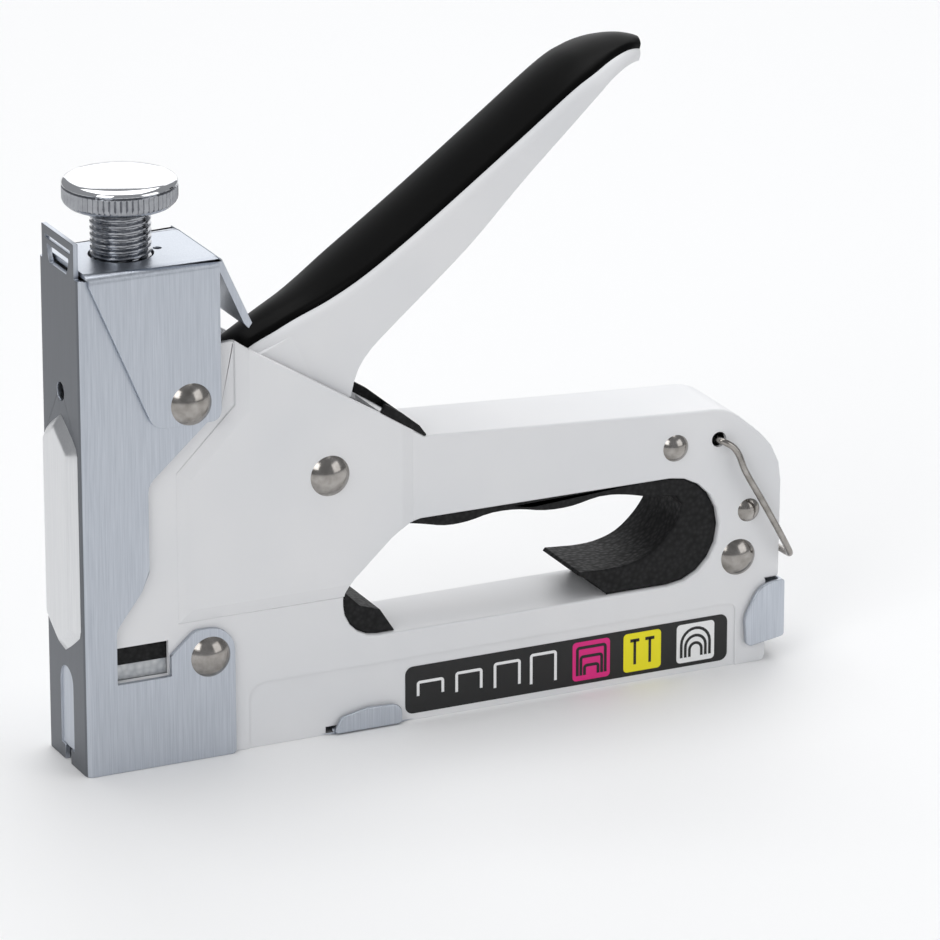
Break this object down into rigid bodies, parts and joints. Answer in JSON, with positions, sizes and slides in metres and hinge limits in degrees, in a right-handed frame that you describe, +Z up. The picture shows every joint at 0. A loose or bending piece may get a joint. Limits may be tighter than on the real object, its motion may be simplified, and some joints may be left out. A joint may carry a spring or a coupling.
{
  "type": "staple gun",
  "caption": "Hand staple gun with white pressed-steel body, brushed nose guard and cover, chrome tension knob, sprung squeeze lever, finger loop and rear-loaded magazine.",
  "frame": {"origin": "middle of the underside, on the surface that the tool stands on", "axes": "+X from the nose plate to the back of the grip, +Y to the tool's right side, +Z up from the underside to the tension knob"},
  "size_m": [0.1844, 0.0314, 0.1574],
  "materials": {
    "white_enamel": "smooth satin powder coat",
    "brushed_plate": "fine vertical brushing, clear plated",
    "chrome_knob": "polished chrome with straight knurling",
    "nickel_rivet": "dark nickel, polished dome",
    "spring_wire": "drawn wire, lightly oiled",
    "zinc_inner": "zinc plated pressing",
    "hardened_inner": "hardened and blackened steel",
    "black_rubber": "matte with leather grain",
    "black_gloss": "smooth, semi-gloss",
    "label_print": "printed film with coloured tiles"
  },
  "bodies": {
    "frame": {"left_shell": "white_enamel", "right_shell": "white_enamel", "front_guard": "brushed_plate", "top_cover": "brushed_plate", "cover_nut": "hardened_inner", "buffer_pad": "black_rubber", "buffer_bracket": "zinc_inner", "pivot_rivet": "nickel_rivet", "cover_rivet": "nickel_rivet", "guard_rivet": "nickel_rivet", "bar_rivet": "nickel_rivet", "rear_rivets": "nickel_rivet", "rivet_spacers": "zinc_inner", "stop_pad": "black_rubber", "grip_liner": "black_rubber", "liner_corner": "black_rubber", "magazine_channel": "zinc_inner", "staple_rail": "zinc_inner", "channel_catch": "brushed_plate", "size_labels": "label_print"},
    "lever": {"handle_lever": "white_enamel", "handle_grip": "black_gloss", "lift_roller": "hardened_inner", "pivot_bush": "hardened_inner"},
    "hammer": {"plunger": "hardened_inner", "driver_blade": "zinc_inner", "main_spring": "spring_wire"},
    "seat": {"spring_seat": "hardened_inner"},
    "knob": {"tension_knob": "chrome_knob"},
    "pusher": {"magazine_clip": "brushed_plate", "pusher_rod": "zinc_inner", "pusher_spring": "spring_wire"},
    "follower": {"staple_follower": "zinc_inner"},
    "bail": {"lock_wire": "nickel_rivet"}
  },
  "joints": [
    {"name": "lever_squeeze", "type": "hinge", "parent": "frame", "child": "lever", "pos_m": [-0.0287, 0, 0.0645], "axis": [0, 1, 0], "range_deg": [0, 45], "stiffness_Nm_per_rad": 6, "springref_deg": -17.19},
    {"name": "hammer_lift", "type": "slide", "parent": "frame", "child": "hammer", "axis": [0, 0, 1], "range_m": [0, 0.023], "deforming": ["main_spring"]},
    {"name": "seat_travel", "type": "slide", "parent": "frame", "child": "seat", "axis": [0, 0, -1], "range_m": [-0.0015, 0.006]},
    {"name": "knob_turn", "type": "hinge", "parent": "seat", "child": "knob", "pos_m": [-0.0748, 0, 0.13], "axis": [0, 0, -1], "range_deg": [-361, 1441]},
    {"name": "pusher_pull", "type": "slide", "parent": "frame", "child": "pusher", "axis": [1, 0, 0], "range_m": [0, 0.11]},
    {"name": "follower_travel", "type": "slide", "parent": "pusher", "child": "follower", "axis": [1, 0, 0], "range_m": [0, 0.1], "stiffness_N_per_m": 15, "springref_m": -0.04, "deforming": ["pusher_spring"]},
    {"name": "bail_swing", "type": "hinge", "parent": "frame", "child": "bail", "pos_m": [0.0728, 0, 0.058], "axis": [0, -1, 0], "range_deg": [0, 130]}
  ],
  "couplings": [
    {"joint": "hammer_lift", "follows": "lever_squeeze", "m_per_rad": 0.029236},
    {"joint": "knob_turn", "follows": "seat_travel", "rad_per_m": 4188.8}
  ]
}
